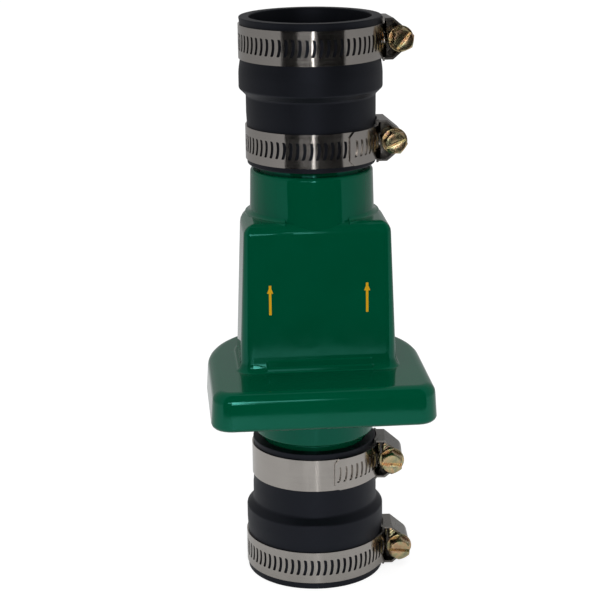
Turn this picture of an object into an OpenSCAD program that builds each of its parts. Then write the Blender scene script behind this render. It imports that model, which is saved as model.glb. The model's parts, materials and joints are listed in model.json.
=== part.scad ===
// Flap valve for the discharge pipe of a small pump, with a rubber coupling clamped on each end.
// Millimetres. The origin is the centre of the inlet mouth and +Z is the way the water flows.
// -Y is the flat front, where the flap is hinged. +X is the side of the clamp screws.

/* [Rubber couplings] */
// Outside diameter of the pipe that the wide end takes
pipe_d = 48.3; // [46:0.1:50]
// Rubber wall round the pipe
wide_wall = 4.35; // [3.5:0.05:5]
// Rubber wall round the casing's spigot
narrow_wall = 4.4; // [3.5:0.05:5]
// Length of a coupling
coupling_len = 58.1; // [55:0.1:64]
// How far the pipe goes in before it meets the step
pipe_depth = 27; // [24:0.5:28]
// Length of the wide end outside, up to the taper
wide_len = 27.9; // [26:0.1:30]
// Length of the taper outside
taper_len = 2.7; // [2:0.1:4]
// Rounding of the outer rims
rim_round = 0.5; // [0.4:0.1:1.5]
// Clearance between a coupling and the spigot in it
sleeve_fit = 0.1; // [0.05:0.01:0.15]

/* [Passage] */
// Outside diameter of the spigots
spigot_d = 42.5; // [41.5:0.1:43]
// How far a spigot reaches into its coupling
spigot_grip = 25; // [20:0.5:26]
// Bore of the spigots and of the seat
bore_d = 35; // [32:0.5:36]
// Bore of the neck above the chamber
neck_bore_d = 41; // [38:0.5:42]
// Length of the cone between the two bores
neck_cone_len = 5; // [3:0.5:7]
// Outside diameter of the collars at their shoulder
collar_d = 49.2; // [48:0.1:50]
// Draft of the collars, degrees
collar_draft = 1.3; // [0.5:0.1:2]
// Length of a collar
collar_len = 17.9; // [16:0.1:20]
// Rounding of a collar's shoulder
shoulder_round = 1.5; // [1:0.1:2]
// Gap between the inlet coupling and the lower collar
inlet_gap = 2.6; // [2:0.1:4]
// Gap between the upper collar and the outlet coupling
outlet_gap = 2; // [1.5:0.1:4]

/* [Flange and skirt] */
// Half width of the flange at its top
flange_half_w = 43.7; // [42:0.1:47]
// Axis to the flange's flat front
flange_front = 52; // [48:0.1:54]
// Axis to the flange's round back
flange_back = 41.2; // [39.5:0.1:43]
// Radius of the two front corners
flange_corner_r = 7.6; // [6:0.1:10]
// Height of the skirted flange
flange_h = 15.5; // [15:0.1:18]
// Rounding of the top edge
flange_edge_r = 4.3; // [3:0.1:4.5]
// Rounding of the bottom edge
flange_foot_r = 1.9; // [1:0.1:2.5]
// Draft of the skirt, degrees
flange_draft = 2.6; // [1:0.1:3]
// Wall of the skirt
skirt_wall = 4; // [3:0.1:5]
// Thickness of the deck over the skirt
deck_t = 4; // [3.5:0.1:5]

/* [Chamber] */
// Half width of the chamber at its roof
chamber_half_w = 29.1; // [28.5:0.1:31]
// Axis to the chamber's flat front at its roof
chamber_front = 25.3; // [25:0.1:27]
// Radius of the upright front corners
chamber_corner_r = 2.8; // [2:0.1:5]
// Height of the chamber over the deck
chamber_h = 59.9; // [50:0.1:70]
// Rounding of the roof's edge
chamber_edge_r = 4.5; // [3:0.1:5]
// Draft of the round wall, degrees
chamber_draft = 2.2; // [1:0.1:3]
// Draft of the flat front, degrees
front_draft = 1; // [0.5:0.1:1.5]
// How far the chamber's foot flares out on the deck
foot_flare = 1.8; // [1:0.1:3]
// Height of that flare
foot_rise = 4; // [2:0.1:5]
// Fillet between the collar and the roof
neck_fillet = 2; // [1:0.1:3]
// Wall of the chamber
chamber_wall = 3; // [2.8:0.1:3.2]
// Half width of the two low steps in front of the hinge
step_half_w = 21.5; // [18:0.5:24]
// Height of the tall step
step_h = 5; // [4:0.1:7]
// Height of the short step
low_step_h = 2.3; // [1.5:0.1:3.5]
// How far the tall step stands out of the wall, and the short step out of the tall one
step_out = 0.5; // [0.4:0.1:1]

/* [Gasket and flap] */
// Thickness of the rubber sheet of gasket and flap
sheet_t = 3; // [2.5:0.1:3.5]
// Clearance of what lies inside the skirt
skirt_fit = 0.15; // [0.1:0.05:0.3]
// Recess of the lower casing's plate in the skirt
plate_recess = 0.8; // [0.4:0.1:1.2]
// Width of the raised ring that the flap seats on
seat_w = 2.1; // [1.8:0.1:2.4]
// Depth of the groove round the seat ring
seat_groove_d = 1.2; // [0.8:0.1:1.6]
// Width of that groove
seat_groove_w = 2.9; // [2.4:0.1:3.4]
// Gap between flap and seat at rest
seat_gap = 0.2; // [0.1:0.05:0.3]
// How far the flap covers the seat ring
flap_over = 1; // [0.6:0.1:1.2]
// Axis to the hinge line of the flap
hinge_front = 22.3; // [22.2:0.1:22.5]
// Width of the hinge web
hinge_w = 24; // [18:0.5:28]
// Thickness of the hinge web
hinge_t = 1.2; // [0.8:0.1:1.4]
// Length of the thin web on the flap
hinge_len = 2.8; // [2:0.1:3]
// Clearance at the hinge line
hinge_fit = 0.15; // [0.1:0.05:0.2]
// Radius of the steel weight plate
weight_r = 13; // [10:0.5:13]
// Thickness of the weight plate
weight_t = 3; // [2:0.1:3.2]
// Radius of the backing washer
washer_r = 13; // [10:0.5:14]
// Thickness of the backing washer
washer_t = 1.5; // [1:0.1:2]
// Radius of the rivet's shank
rivet_r = 2.5; // [2:0.1:3]
// Radius of the rivet's domed head
rivet_head_r = 5; // [4:0.1:6]
// Height of the rivet's heads
rivet_head_h = 1.8; // [1.2:0.1:2.2]
// Clearance round the rivet
rivet_fit = 0.05; // [0.03:0.01:0.1]

/* [Clamp bands] */
// Width of a band
band_w = 13.3; // [12:0.1:14.5]
// Thickness of a band
band_t = 0.65; // [0.5:0.05:0.7]
// Clearance between band and rubber, band and housing, and the two layers of a band
band_fit = 0.05; // [0.03:0.01:0.08]
// Distance between two slots along the band
slot_pitch = 2.68; // [2.5:0.02:3]
// Length of a slot
slot_len = 6.7; // [5.5:0.1:7.5]
// Width of a slot in its middle
slot_w = 1.5; // [1:0.1:1.6]
// Lean of a slot, degrees
slot_lean = 6; // [3:0.5:9]
// Leg of the clipped corners at a band's free end
clip_leg = 2; // [1:0.1:3]
// Angle from the middle of the housing to the band's free end, on the two pipe clamps
pipe_end_arc = 54; // [45:1:70]
// The same on the outlet valve clamp
valve_end_arc = 61; // [45:1:70]
// The same on the inlet valve clamp, whose slots start only there
long_end_arc = 71; // [50:1:75]
// Length over which the rubber swells out again beside a band
squeeze_ramp = 5; // [4.5:0.1:6]

/* [Clamp housings and screws] */
// Length of a housing along the band
housing_len = 14; // [12:0.5:16]
// Height of a housing across the band
housing_h = 17.2; // [16.6:0.1:18]
// How far the saddle's edges stand out past the cover
saddle_edge = 0.4; // [0.2:0.1:0.8]
// Sheet thickness of a housing
housing_t = 0.8; // [0.6:0.05:1]
// Height of the cover's upright cheeks over the saddle
cheek_h = 2.6; // [0.5:0.1:3]
// Height of the screw's axis over the rubber
screw_height = 6.9; // [6.7:0.1:7.4]
// Radius of the screw's worm
worm_r = 3.5; // [3.3:0.1:3.7]
// Clearance round the worm and at its two ends
worm_room = 0.2; // [0.15:0.05:0.3]
// Setback of the lips from the housing's ends
lip_inset = 0.2; // [0.1:0.05:0.4]
// Radius of the screw's neck and tip, which turn in the housing's end walls
journal_r = 2.6; // [2.2:0.1:2.8]
// Running clearance of neck and tip
journal_fit = 0.08; // [0.05:0.01:0.1]
// How far the screw's tip stands out at the back
tip_len = 1.5; // [1:0.5:3]
// Radius of the collar under the head
screw_collar_r = 5.2; // [5:0.1:5.6]
// Thickness of the collar under the head
screw_collar_t = 1.2; // [0.8:0.1:1.5]
// Gap between the housing and that collar
screw_collar_gap = 0.2; // [0.1:0.05:0.4]
// Width of the hexagon across its flats
hex_flats = 8.4; // [7.9:0.1:9]
// Height of the hexagon
hex_h = 4.5; // [4:0.1:5.5]
// Width of the driver slot
driver_w = 1.3; // [1:0.1:1.6]
// Depth of the driver slot
driver_d = 1.8; // [1.2:0.1:2.2]

/* [Where each clamp sits] */
// Outlet pipe clamp: end of the coupling to the band's edge
outlet_pipe_inset = 2.8; // [2:0.1:5]
// Outlet valve clamp: end of the coupling to the band's edge
outlet_valve_inset = 2.1; // [2:0.1:5]
// Inlet valve clamp: end of the coupling to the band's edge
inlet_valve_inset = 2.6; // [2:0.1:5]
// Inlet pipe clamp: end of the coupling to the band's edge
inlet_pipe_inset = 2.9; // [2:0.1:5]
// Outlet pipe clamp: side of the screw, degrees from +X towards the back
outlet_pipe_turn = 5; // [-20:1:40]
// Outlet valve clamp: side of the screw
outlet_valve_turn = 0; // [-20:1:40]
// Inlet valve clamp: side of the screw
inlet_valve_turn = -6; // [-20:1:40]
// Inlet pipe clamp: side of the screw
inlet_pipe_turn = -3; // [-20:1:40]
// Outlet pipe clamp: how far its band is pressed into the rubber
outlet_pipe_squeeze = 0.8; // [0.1:0.05:0.9]
// Outlet valve clamp: how far its band is pressed in
outlet_valve_squeeze = 0.25; // [0.1:0.05:0.9]
// Inlet valve clamp: how far its band is pressed in
inlet_valve_squeeze = 0.5; // [0.1:0.05:0.9]
// Inlet pipe clamp: how far its band is pressed in
inlet_pipe_squeeze = 0.35; // [0.1:0.05:0.9]

/* [Hidden] */
$fn = 96;

// Overlap that makes a cut pass clean through
eps = 1;
// How far a surface is sunk in its neighbour where the two would only touch
sink = 0.02;

// Radii
pipe_r = pipe_d / 2;
spigot_r = spigot_d / 2;
bore_r = bore_d / 2;
collar_r = collar_d / 2;
collar_foot_r = collar_r + tan(collar_draft) * collar_len;
sleeve_r = spigot_r + sleeve_fit;
wide_r = pipe_r + wide_wall;
narrow_r = sleeve_r + narrow_wall;
// Rubber under each band, where it is pressed in
outlet_pipe_r = wide_r - outlet_pipe_squeeze;
outlet_valve_r = narrow_r - outlet_valve_squeeze;
inlet_valve_r = narrow_r - inlet_valve_squeeze;
inlet_pipe_r = wide_r - inlet_pipe_squeeze;
seat_r = bore_r + seat_w;
flap_r = seat_r + flap_over;

// Levels along the flow, from the inlet mouth up
z_inlet_shoulder = coupling_len + inlet_gap;
z_skirt = z_inlet_shoulder + collar_len;
z_deck = z_skirt + flange_h;
z_gasket = z_deck - deck_t;
z_seat = z_gasket - sheet_t;
z_plate = z_skirt + plate_recess;
z_roof = z_deck + chamber_h;
z_outlet_shoulder = z_roof + collar_len;
z_outlet_coupling = z_outlet_shoulder + outlet_gap;
z_mouth = z_outlet_coupling + coupling_len;
z_flap = z_seat + seat_gap;
z_hinge = z_seat + sheet_t / 2;

// Middle of each clamp's band
z_outlet_pipe_clamp = z_mouth - outlet_pipe_inset - band_w / 2;
z_outlet_valve_clamp = z_outlet_coupling + outlet_valve_inset + band_w / 2;
z_inlet_valve_clamp = coupling_len - inlet_valve_inset - band_w / 2;
z_inlet_pipe_clamp = inlet_pipe_inset + band_w / 2;

// Centre of the flange's round back
flange_back_y = flange_back - flange_half_w;
// Inside of the skirt, which has no draft, and of the chamber where it meets the gasket
skirt_half_w = flange_half_w - skirt_wall;
skirt_front = flange_front - skirt_wall;
skirt_back_y = flange_back_y;
skirt_corner_r = flange_corner_r - skirt_wall;
chamber_foot_w = chamber_half_w + tan(chamber_draft) * (z_roof - z_gasket);
chamber_foot_front = chamber_front + tan(front_draft) * (z_roof - z_gasket);

// Points of an arc
function arc(x, y, r, from, to, steps) =
    [for (i = [0:steps]) let (a = from + (to - from) * i / steps) [x + r * cos(a), y + r * sin(a)]];

// Plan outline of casing and flange: a flat front with rounded corners and a round back.
// side and front are how far the outline is drawn in from the sides and from the front.
function plan_form(half_w, front, back_y, corner_r, side, face) =
    let (w = half_w - side, f = front - face, r = max(corner_r - side, 0.4))
    concat(arc(w - r, r - f, r, -90, 0, 6),
           arc(0, back_y, w, 0, 180, 40),
           arc(r - w, r - f, r, 180, 270, 6));

// Solid drawn up through plan outlines. Each level is [height, side inset, front inset].
module moulding(levels, half_w, front, back_y, corner_r) {
    rings = [for (l = levels) plan_form(half_w, front, back_y, corner_r, l[1], l[2])];
    n = len(rings[0]);
    last = len(levels) - 1;
    points = [for (k = [0:last]) for (p = rings[k]) [p[0], p[1], levels[k][0]]];
    floor_face = [for (i = [0:n - 1]) i];
    roof_face = [for (i = [n - 1:-1:0]) last * n + i];
    walls = [for (k = [0:last - 1]) for (i = [0:n - 1])
        let (j = (i + 1) % n)
        [k * n + i, (k + 1) * n + i, (k + 1) * n + j, k * n + j]];
    polyhedron(points, concat([floor_face, roof_face], walls), convexity = 6);
}

// Upright prism with the same plan form, made of plain circles and squares
module plan_prism(half_w, front, back_y, corner_r, h) {
    linear_extrude(h) {
        intersection() {
            translate([0, back_y]) circle(half_w);
            translate([-half_w, back_y]) square([2 * half_w, half_w]);
        }
        translate([-half_w, corner_r - front])
            square([2 * half_w, front - corner_r + back_y]);
        translate([corner_r - half_w, -front])
            square([2 * (half_w - corner_r), corner_r]);
        for (side = [-1, 1])
            translate([side * (half_w - corner_r), corner_r - front]) circle(corner_r);
    }
}

// Levels of a drafted wall from z0 up to z1 with a rounded top edge of radius r
function drafted_top(z0, z1, r, side_draft, face_draft) =
    concat([[z0, -tan(side_draft) * (z1 - z0), -tan(face_draft) * (z1 - z0)]],
           [for (a = [0:18:90]) let (in = r * (1 - cos(a))) [z1 - r + r * sin(a), in, in]]);

// Skirted flange from outside: rounded foot, drafted wall, rounded top edge
module flange_body() {
    spread = tan(flange_draft) * (flange_h - flange_edge_r);
    foot = [for (a = [90:-30:30])
        let (in = flange_foot_r * (1 - cos(a)) - spread)
        [z_skirt + flange_foot_r * (1 - sin(a)), in, in]];
    wall = drafted_top(z_skirt + flange_foot_r, z_deck, flange_edge_r, flange_draft, flange_draft);
    moulding(concat(foot, wall), flange_half_w, flange_front, flange_back_y, flange_corner_r);
}

// Chamber from outside: fillet on the deck, drafted wall, rounded roof edge
module chamber_body() {
    root = [for (a = [0:22.5:67.5])
        let (out = foot_flare * (1 - sin(a)), z = z_deck + foot_rise * (1 - cos(a)))
        [z, -tan(chamber_draft) * (z_roof - z) - out, -tan(front_draft) * (z_roof - z) - out]];
    sunk = [[z_deck - eps, root[0][1], root[0][2]]];
    wall = drafted_top(z_deck + foot_rise, z_roof, chamber_edge_r, chamber_draft, front_draft);
    moulding(concat(sunk, root, wall), chamber_half_w, chamber_front, 0, chamber_corner_r);
}

// One of the two low steps that stand out of the front over the hinge
module hinge_step(h, out) {
    face = chamber_front + tan(front_draft) * chamber_h + out;
    moulding([[z_deck - eps, 0, 0], [z_deck + h - step_out, 0, 0], [z_deck + h, step_out, step_out]],
             step_half_w + out, face, 0, 2);
}

// Inside of the chamber, open at the bottom
module chamber_space() {
    levels = [for (z = [z_gasket - eps, z_roof - 2 * chamber_wall])
        [z, chamber_wall - tan(chamber_draft) * (z_roof - z),
         chamber_wall - tan(front_draft) * (z_roof - z)]];
    top = [z_roof - chamber_wall, 2 * chamber_wall, 2 * chamber_wall];
    moulding(concat(levels, [top]), chamber_half_w, chamber_front, 0,
             chamber_corner_r + chamber_wall);
}

// Spigot with the drafted collar behind it, pointing up. The collar starts at z = 0 and has a
// straight root below that.
module collar_and_spigot(reach, root) {
    rotate_extrude() {
        polygon([[0, -root], [collar_foot_r, -root], [collar_foot_r, 0],
                 [collar_r, collar_len - shoulder_round], [0, collar_len - shoulder_round]]);
        square([collar_r - shoulder_round, collar_len]);
        translate([collar_r - shoulder_round, collar_len - shoulder_round]) circle(shoulder_round);
        square([spigot_r, collar_len + reach - 1]);
        polygon([[0, 0], [spigot_r, 0], [spigot_r, collar_len + reach - 1],
                 [spigot_r - 1, collar_len + reach], [0, collar_len + reach]]);
    }
}

// Ring that fills the corner between the collar and the roof
module neck_root() {
    r = collar_foot_r - tan(collar_draft) * neck_fillet - sink;
    intersection() {
        translate([0, 0, z_roof - chamber_edge_r]) rotate_extrude() difference() {
            square([r + neck_fillet, chamber_edge_r + neck_fillet]);
            translate([r + neck_fillet, chamber_edge_r + neck_fillet]) circle(neck_fillet);
        }
        translate([-wide_r * 2, -chamber_front, 0]) cube([wide_r * 4, wide_r * 4, z_mouth]);
    }
}

module upper_casing() {
    color("#004a33") difference() {
        union() {
            flange_body();
            chamber_body();
            hinge_step(step_h, step_out);
            hinge_step(low_step_h, 2 * step_out);
            neck_root();
            translate([0, 0, z_roof]) collar_and_spigot(outlet_gap + spigot_grip, chamber_edge_r);
        }
        translate([0, 0, z_skirt - eps])
            plan_prism(skirt_half_w, skirt_front, skirt_back_y, skirt_corner_r, z_gasket - z_skirt + eps);
        chamber_space();
        translate([0, 0, z_roof - chamber_wall - eps])
            cylinder(d = neck_bore_d, h = chamber_wall + eps + collar_len - neck_cone_len);
        translate([0, 0, z_outlet_shoulder - neck_cone_len])
            cylinder(d1 = neck_bore_d, d2 = bore_d, h = neck_cone_len);
        translate([0, 0, z_outlet_shoulder - eps])
            cylinder(r = bore_r, h = z_mouth);
    }
}

module lower_casing() {
    color("#00432f") difference() {
        union() {
            translate([0, 0, z_plate])
                plan_prism(skirt_half_w - skirt_fit, skirt_front - skirt_fit, skirt_back_y,
                           skirt_corner_r - skirt_fit, z_seat - z_plate);
            translate([0, 0, z_skirt]) mirror([0, 0, 1])
                collar_and_spigot(inlet_gap + spigot_grip, plate_recess + eps);
        }
        translate([0, 0, -eps]) cylinder(r = bore_r, h = z_mouth);
        translate([0, 0, z_seat - seat_groove_d]) difference() {
            cylinder(r = seat_r + seat_groove_w, h = seat_groove_d + eps);
            translate([0, 0, -eps]) cylinder(r = seat_r, h = seat_groove_d + 3 * eps);
        }
    }
}

// Rubber sheet between the casings. Its opening follows the chamber, with the fixed half of the
// flap's hinge web at the front.
module casing_gasket() {
    open_w = chamber_foot_w - chamber_wall;
    open_front = chamber_foot_front - chamber_wall;
    web_end = hinge_front + hinge_t / 2 + hinge_fit;
    color("#1c1c1e") {
        difference() {
            translate([0, 0, z_seat])
                plan_prism(skirt_half_w - skirt_fit, skirt_front - skirt_fit, skirt_back_y,
                           skirt_corner_r - skirt_fit, sheet_t);
            translate([0, 0, z_seat - eps])
                plan_prism(open_w, open_front, 0, chamber_corner_r, sheet_t + 2 * eps);
        }
        translate([-hinge_w / 2, -open_front - eps, z_hinge - hinge_t / 2])
            cube([hinge_w, open_front + eps - web_end, hinge_t]);
    }
}

module flap_disc() {
    color("#26262a") difference() {
        union() {
            translate([0, 0, z_flap]) cylinder(r = flap_r, h = sheet_t);
            translate([-hinge_w / 2, -hinge_front, z_hinge - hinge_t / 2])
                cube([hinge_w, hinge_front, hinge_t]);
            translate([-hinge_w / 2, -hinge_front, z_hinge]) rotate([0, 90, 0])
                cylinder(d = hinge_t, h = hinge_w);
        }
        // The sheet is thinned over and under the web
        for (z = [z_hinge + hinge_t / 2, z_hinge - hinge_t / 2 - sheet_t])
            translate([-flap_r, -hinge_front - sheet_t, z])
                cube([2 * flap_r, sheet_t + hinge_len, sheet_t]);
        translate([0, 0, z_flap - eps]) cylinder(r = rivet_r + rivet_fit, h = sheet_t + 2 * eps);
    }
}

module flap_weight_plate() {
    color("#9a9a96") translate([0, 0, z_flap + sheet_t]) difference() {
        cylinder(r = weight_r, h = weight_t);
        translate([0, 0, -eps]) cylinder(r = rivet_r + rivet_fit, h = weight_t + 2 * eps);
    }
}

module flap_backing_washer() {
    color("#9a9a96") translate([0, 0, z_flap - washer_t]) difference() {
        cylinder(r = washer_r, h = washer_t);
        translate([0, 0, -eps]) cylinder(r = rivet_r + rivet_fit, h = washer_t + 2 * eps);
    }
}

module flap_rivet() {
    grip = washer_t + sheet_t + weight_t;
    color("#b8b4a8") translate([0, 0, z_flap - washer_t]) {
        cylinder(r = rivet_r, h = grip);
        translate([0, 0, grip]) rivet_head();
        mirror([0, 0, 1]) rivet_head();
    }
}

// Domed head: the cap of a sphere with the wanted height and rim
module rivet_head() {
    r = (pow(rivet_head_r, 2) + pow(rivet_head_h, 2)) / (2 * rivet_head_h);
    intersection() {
        translate([0, 0, rivet_head_h - r]) sphere(r);
        cylinder(r = rivet_head_r + eps, h = rivet_head_h + eps);
    }
}

// What a band of middle height z presses out of rubber of radius r, seen in section
module band_groove(r, z, squeeze) {
    half = band_w / 2 + band_fit;
    rise = squeeze + eps;
    reach = half + squeeze_ramp * rise / squeeze;
    translate([r - squeeze, z]) polygon([[0, -half], [0, half], [rise, reach], [rise, -reach]]);
}

// Coupling with its wide mouth down at z = 0. The bands press it in at the heights wide_z and narrow_z.
module coupling(wide_z, wide_squeeze, narrow_z, narrow_squeeze) {
    taper_end = wide_len + taper_len;
    color("#1b1c20") rotate_extrude() difference() {
        union() {
            polygon([[0, rim_round], [wide_r, rim_round], [wide_r, wide_len],
                     [narrow_r, taper_end], [narrow_r, coupling_len - rim_round],
                     [0, coupling_len - rim_round]]);
            square([wide_r - rim_round, coupling_len / 2]);
            translate([wide_r - rim_round, rim_round]) circle(rim_round);
            translate([0, coupling_len / 2]) square([narrow_r - rim_round, coupling_len / 2]);
            translate([narrow_r - rim_round, coupling_len - rim_round]) circle(rim_round);
        }
        translate([-1, -eps]) square([pipe_r + 1, pipe_depth + eps]);
        translate([-1, -eps]) square([sleeve_r + 1, coupling_len + 2 * eps]);
        band_groove(wide_r, wide_z, wide_squeeze);
        band_groove(narrow_r, narrow_z, narrow_squeeze);
    }
}

module inlet_coupling() {
    coupling(z_inlet_pipe_clamp, inlet_pipe_squeeze, z_inlet_valve_clamp, inlet_valve_squeeze);
}

module outlet_coupling() {
    translate([0, 0, z_mouth]) mirror([0, 0, 1])
        coupling(z_mouth - z_outlet_pipe_clamp, outlet_pipe_squeeze,
                 z_mouth - z_outlet_valve_clamp, outlet_valve_squeeze);
}

// Layers over the rubber, counted from its radius r out: the band, the housing's saddle on it,
// and over the saddle the band's free end on its way to the screw
function saddle_r(r) = r + 2 * band_fit + band_t;
function raised_r(r) = saddle_r(r) + housing_t + band_fit;
// Half the angle that a housing covers
function housing_arc(r) = asin(housing_len / 2 / saddle_r(r)) + 0.5;

// Lens-shaped slot through whatever band lies outside radius r, cut where two round bars cross
module band_slot(r, lean) {
    bow = (pow(slot_len / 2, 2) + pow(slot_w / 2, 2)) / slot_w;
    translate([r, 0, 0]) rotate([lean, 0, 0]) intersection_for (side = [-1, 1])
        translate([0, side * (bow - slot_w / 2), 0]) rotate([0, 90, 0]) cylinder(r = bow, h = 4);
}

// Perforated band round a sleeve of radius r: one strip whose fixed end lies under the housing's
// saddle. It goes round the sleeve, rises over the saddle and comes down on itself.
// free is the angle at which the free end stops, bare the stretch of sleeve without slots.
// Angles run towards the side where the free end comes out.
module band_strip(r, free, bare, lean, notched) {
    low = r + band_fit;
    laid = saddle_r(r);
    high = raised_r(r);
    under = housing_arc(r);
    rise = under + acos(low / high);
    land = under + acos(laid / high);
    step = slot_pitch / low * 180 / PI;
    // The strip's inner face as stretches of [radius, first angle, last angle]
    stretches = [[low, -under / 2, 360 - rise], [high, 360 - under, 360 + under],
                 [laid, 360 + land, 360 + free]];
    inner = [for (l = stretches) each arc(0, 0, l[0], l[1], l[2], ceil((l[2] - l[1]) / 4))];
    outer = [for (l = stretches) each
        arc(0, 0, l[0] + band_t, l[1], l[2], ceil((l[2] - l[1]) / 4))];
    difference() {
        translate([0, 0, -band_w / 2]) linear_extrude(band_w)
            polygon(concat(inner, [for (i = [len(outer) - 1:-1:0]) outer[i]]));
        for (a = [-2 * step:step:free - 4])
            rotate([0, 0, a]) band_slot(laid - band_fit / 2, lean);
        for (a = [max(free, bare) + 4:step:360 - under])
            rotate([0, 0, a]) band_slot(low - eps, lean);
        for (side = [-1, 1]) rotate([0, 0, free]) translate([laid - band_fit / 2, 0, side * band_w / 2])
            if (notched) translate([0, -clip_leg, -clip_leg / 2]) cube([2, 3 * clip_leg, clip_leg]);
            else rotate([45, 0, 0]) translate([0, -clip_leg / sqrt(2), -clip_leg / sqrt(2)])
                cube([2, sqrt(2) * clip_leg, sqrt(2) * clip_leg]);
    }
}

// Band with its free end towards the front, the side of the screw's head, or towards the back
module band(r, to_front, free, bare, notched) {
    color("#8d8b86")
        if (to_front) mirror([0, 1, 0]) band_strip(r, free, bare, -slot_lean, notched);
        else band_strip(r, free, bare, slot_lean, notched);
}

// Places a clamp's pieces: the screw side is turned towards the back
module at_clamp(z, turn) {
    translate([0, 0, z]) rotate([0, 0, turn]) children();
}

// Stamped housing: a curved saddle on the band, a cover that is arched over the screw, and a lip
// inside each end of the arch that the screw turns in
module housing(r) {
    seat = saddle_r(r);
    brim = seat + housing_t;
    axis = r + screw_height;
    inner = worm_r + worm_room;
    half = housing_h / 2 - saddle_edge;
    corner = brim + cheek_h;
    arc = housing_arc(r);
    color("#7d7d7c") {
        rotate([0, 0, -arc]) rotate_extrude(angle = 2 * arc)
            translate([seat, -housing_h / 2]) square([housing_t, housing_h]);
        difference() {
            arch(axis, inner + housing_t, half, seat - 2, corner, housing_len);
            arch(axis, inner, half - housing_t, seat - 3, corner - housing_t / 2, housing_len + eps);
            translate([0, 0, -housing_h]) cylinder(r = seat + housing_t / 2, h = 2 * housing_h);
        }
        for (y = [-housing_len / 2 + lip_inset, housing_len / 2 - housing_t - lip_inset])
            translate([axis, y + housing_t, 0]) rotate([90, 0, 0]) difference() {
                cylinder(r = inner + housing_t / 2, h = housing_t);
                translate([0, 0, -eps]) cylinder(r = journal_r + journal_fit, h = housing_t + 2 * eps);
            }
    }
}

// Prism along Y, len long: an arch of radius r about the screw's axis with flanks that run
// straight down to upright cheeks. The cheeks stand half either side, from base up to corner.
module arch(axis, r, half, base, corner, len) {
    d = axis - corner;
    turn = atan2(half, -d) - acos(r / sqrt(pow(half, 2) + pow(d, 2)));
    translate([0, len / 2, 0]) rotate([90, 0, 0]) linear_extrude(len)
        polygon(concat([[base, -half], [corner, -half]], arc(axis, 0, r, -turn, turn, 16),
                       [[corner, half], [base, half]]));
}

// Worm screw along Y with its head towards the viewer. turn is how the driver slot stands.
module screw(r, turn) {
    worm_half = housing_len / 2 - lip_inset - housing_t - worm_room;
    under_head = housing_len / 2 + screw_collar_gap;
    color("#b08a3c") translate([r + screw_height, 0, 0]) rotate([90, 0, 0]) rotate([0, 0, turn]) {
        translate([0, 0, -housing_len / 2 - tip_len])
            cylinder(r = journal_r, h = housing_len / 2 + tip_len + under_head + eps);
        translate([0, 0, -worm_half]) cylinder(r = worm_r, h = 2 * worm_half);
        translate([0, 0, under_head]) cylinder(r = screw_collar_r, h = screw_collar_t);
        translate([0, 0, under_head + screw_collar_t]) difference() {
            cylinder(d = hex_flats / cos(30), h = hex_h, $fn = 6);
            translate([-hex_flats, -driver_w / 2, hex_h - driver_d])
                cube([2 * hex_flats, driver_w, driver_d + eps]);
        }
    }
}

module outlet_pipe_clamp_band() {
    at_clamp(z_outlet_pipe_clamp, outlet_pipe_turn) band(outlet_pipe_r, false, pipe_end_arc, 0, false);
}

module outlet_pipe_clamp_housing() {
    at_clamp(z_outlet_pipe_clamp, outlet_pipe_turn) housing(outlet_pipe_r);
}

module outlet_pipe_clamp_screw() {
    at_clamp(z_outlet_pipe_clamp, outlet_pipe_turn) screw(outlet_pipe_r, 50);
}

module outlet_valve_clamp_band() {
    at_clamp(z_outlet_valve_clamp, outlet_valve_turn) band(outlet_valve_r, true, valve_end_arc, 0, false);
}

module outlet_valve_clamp_housing() {
    at_clamp(z_outlet_valve_clamp, outlet_valve_turn) housing(outlet_valve_r);
}

module outlet_valve_clamp_screw() {
    at_clamp(z_outlet_valve_clamp, outlet_valve_turn) screw(outlet_valve_r, 25);
}

module inlet_valve_clamp_band() {
    at_clamp(z_inlet_valve_clamp, inlet_valve_turn) band(inlet_valve_r, true, long_end_arc, 360, true);
}

module inlet_valve_clamp_housing() {
    at_clamp(z_inlet_valve_clamp, inlet_valve_turn) housing(inlet_valve_r);
}

module inlet_valve_clamp_screw() {
    at_clamp(z_inlet_valve_clamp, inlet_valve_turn) screw(inlet_valve_r, 0);
}

module inlet_pipe_clamp_band() {
    at_clamp(z_inlet_pipe_clamp, inlet_pipe_turn) band(inlet_pipe_r, false, pipe_end_arc, 0, false);
}

module inlet_pipe_clamp_housing() {
    at_clamp(z_inlet_pipe_clamp, inlet_pipe_turn) housing(inlet_pipe_r);
}

module inlet_pipe_clamp_screw() {
    at_clamp(z_inlet_pipe_clamp, inlet_pipe_turn) screw(inlet_pipe_r, -5);
}

upper_casing();
lower_casing();
casing_gasket();
flap_disc();
flap_weight_plate();
flap_backing_washer();
flap_rivet();
outlet_coupling();
inlet_coupling();
outlet_pipe_clamp_band();
outlet_pipe_clamp_housing();
outlet_pipe_clamp_screw();
outlet_valve_clamp_band();
outlet_valve_clamp_housing();
outlet_valve_clamp_screw();
inlet_valve_clamp_band();
inlet_valve_clamp_housing();
inlet_valve_clamp_screw();
inlet_pipe_clamp_band();
inlet_pipe_clamp_housing();
inlet_pipe_clamp_screw();
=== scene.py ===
# %% [markdown]
# # A flap valve with two clamped rubber couplings
#
# The CAD frame holds every part of the valve at its true size. This lesson gives each part the
# surface that the real one has, builds the studio around it and sets up the camera.
# A finished piece always stays where its CAD part is, because the part is later moved by its joint
# and checked against its neighbours.

# %% Load the fixed frame
import json
import math

import bpy
from mathutils import Matrix, Vector

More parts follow.
